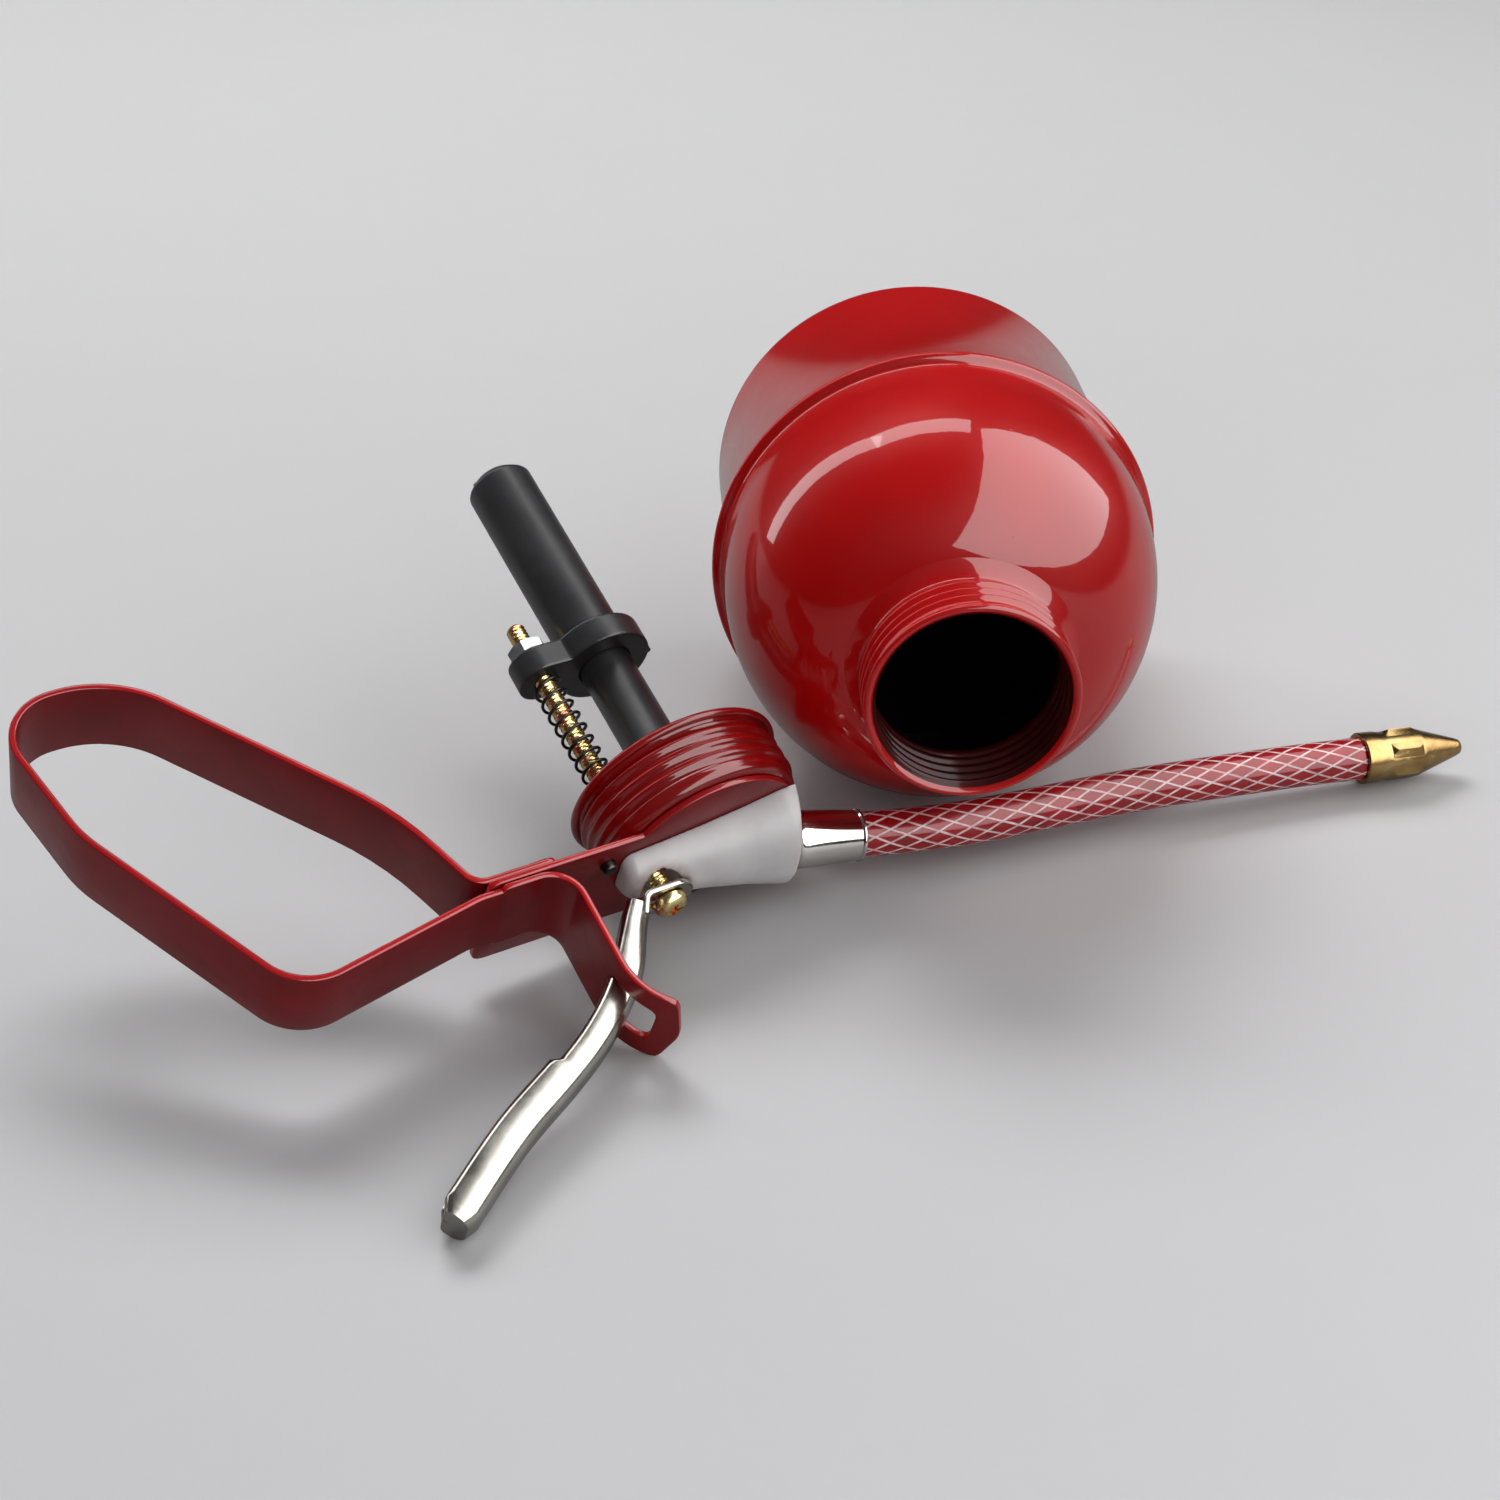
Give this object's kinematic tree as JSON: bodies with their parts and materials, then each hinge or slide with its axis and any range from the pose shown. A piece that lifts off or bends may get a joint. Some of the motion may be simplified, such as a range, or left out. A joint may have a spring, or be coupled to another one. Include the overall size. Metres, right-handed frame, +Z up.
{
  "type": "pump oil can",
  "caption": "Hand-pump oil can taken apart: threaded reservoir lying beside its pump head with lever, slotted handle strap and braided hose with pointed tip.",
  "frame": {"origin": "on the bench, under the middle of the bounding box of the whole layout", "axes": "+Z up from the bench, +X along the layout's long side towards the hose tip, +Y away from the lever towards the reservoir"},
  "size_m": [0.2816, 0.1942, 0.09],
  "materials": {
    "red_gloss": "gloss red enamel on drawn steel",
    "red_satin": "satin dark red paint on bent strip",
    "black_plastic": "moulded, satin",
    "white_nylon": "moulded, slightly translucent",
    "chrome_plate": "bright plating over folded steel",
    "zinc_yellow": "yellow passivated zinc",
    "zinc_white": "white zinc",
    "spring_steel": "dark oiled wire",
    "ball_steel": "polished ball",
    "brass_turned": "turned, bright",
    "hose_pvc": "clear red hose over white braid",
    "black_rubber": "moulded seal"
  },
  "bodies": {
    "pump_head": {"screw_cap": "red_gloss", "cap_gasket": "black_rubber", "base_plate": "red_satin", "handle_strap": "red_satin", "nozzle_hub": "white_nylon", "hub_pin": "spring_steel", "hub_seal_washer": "black_rubber", "outlet_spring": "spring_steel", "plunger_tube": "black_plastic", "plunger_seal": "black_rubber", "return_spring": "spring_steel", "hose_ferrule": "chrome_plate", "hose_nipple": "brass_turned", "hose_rear": "hose_pvc"},
    "lever_arm": {"lever": "chrome_plate"},
    "pump_slide": {"pump_cylinder": "black_plastic", "inlet_plug": "black_plastic", "pull_screw": "zinc_yellow", "pull_nut": "zinc_white"},
    "inlet_valve": {"inlet_ball": "ball_steel"},
    "outlet_valve": {"outlet_ball": "ball_steel"},
    "hose_end": {"hose_front": "hose_pvc", "nozzle_tip": "brass_turned"},
    "reservoir": {"reservoir_cup": "red_gloss", "reservoir_dome": "red_gloss"}
  },
  "joints": [
    {"name": "lever_squeeze", "type": "hinge", "parent": "pump_head", "child": "lever_arm", "pos_m": [-0.03293, -0.04677, 0.01331], "axis": [-0.2387, 0.2835, -0.9288], "range_deg": [0, 20]},
    {"name": "pump_lift", "type": "slide", "parent": "pump_head", "child": "pump_slide", "axis": [0.4709, -0.8027, -0.366], "range_m": [0, 0.0076], "stiffness_N_per_m": 3, "springref_m": -0.01, "deforming": ["return_spring"]},
    {"name": "inlet_ball_lift", "type": "slide", "parent": "pump_slide", "child": "inlet_valve", "axis": [0.4709, -0.8027, -0.366], "range_m": [0, 0.0012]},
    {"name": "outlet_ball_lift", "type": "slide", "parent": "pump_head", "child": "outlet_valve", "axis": [0.4709, -0.8027, -0.366], "range_m": [0, 0.001], "stiffness_N_per_m": 50, "springref_m": -0.002, "deforming": ["outlet_spring"]},
    {"name": "hose_sweep", "type": "hinge", "parent": "pump_head", "child": "hose_end", "pos_m": [0.01841, -0.00312, 0.01348], "axis": [0, 0, 1], "range_deg": [-30, 4]},
    {"name": "reservoir_turn", "type": "hinge", "parent": "pump_head", "child": "reservoir", "pos_m": [0.02651, 0.09344, 0.04143], "axis": [0.0557, -0.9955, 0.0767], "continuous": true}
  ],
  "couplings": [
    {"joint": "pump_lift", "follows": "lever_squeeze", "m_per_rad": 0.021486}
  ]
}
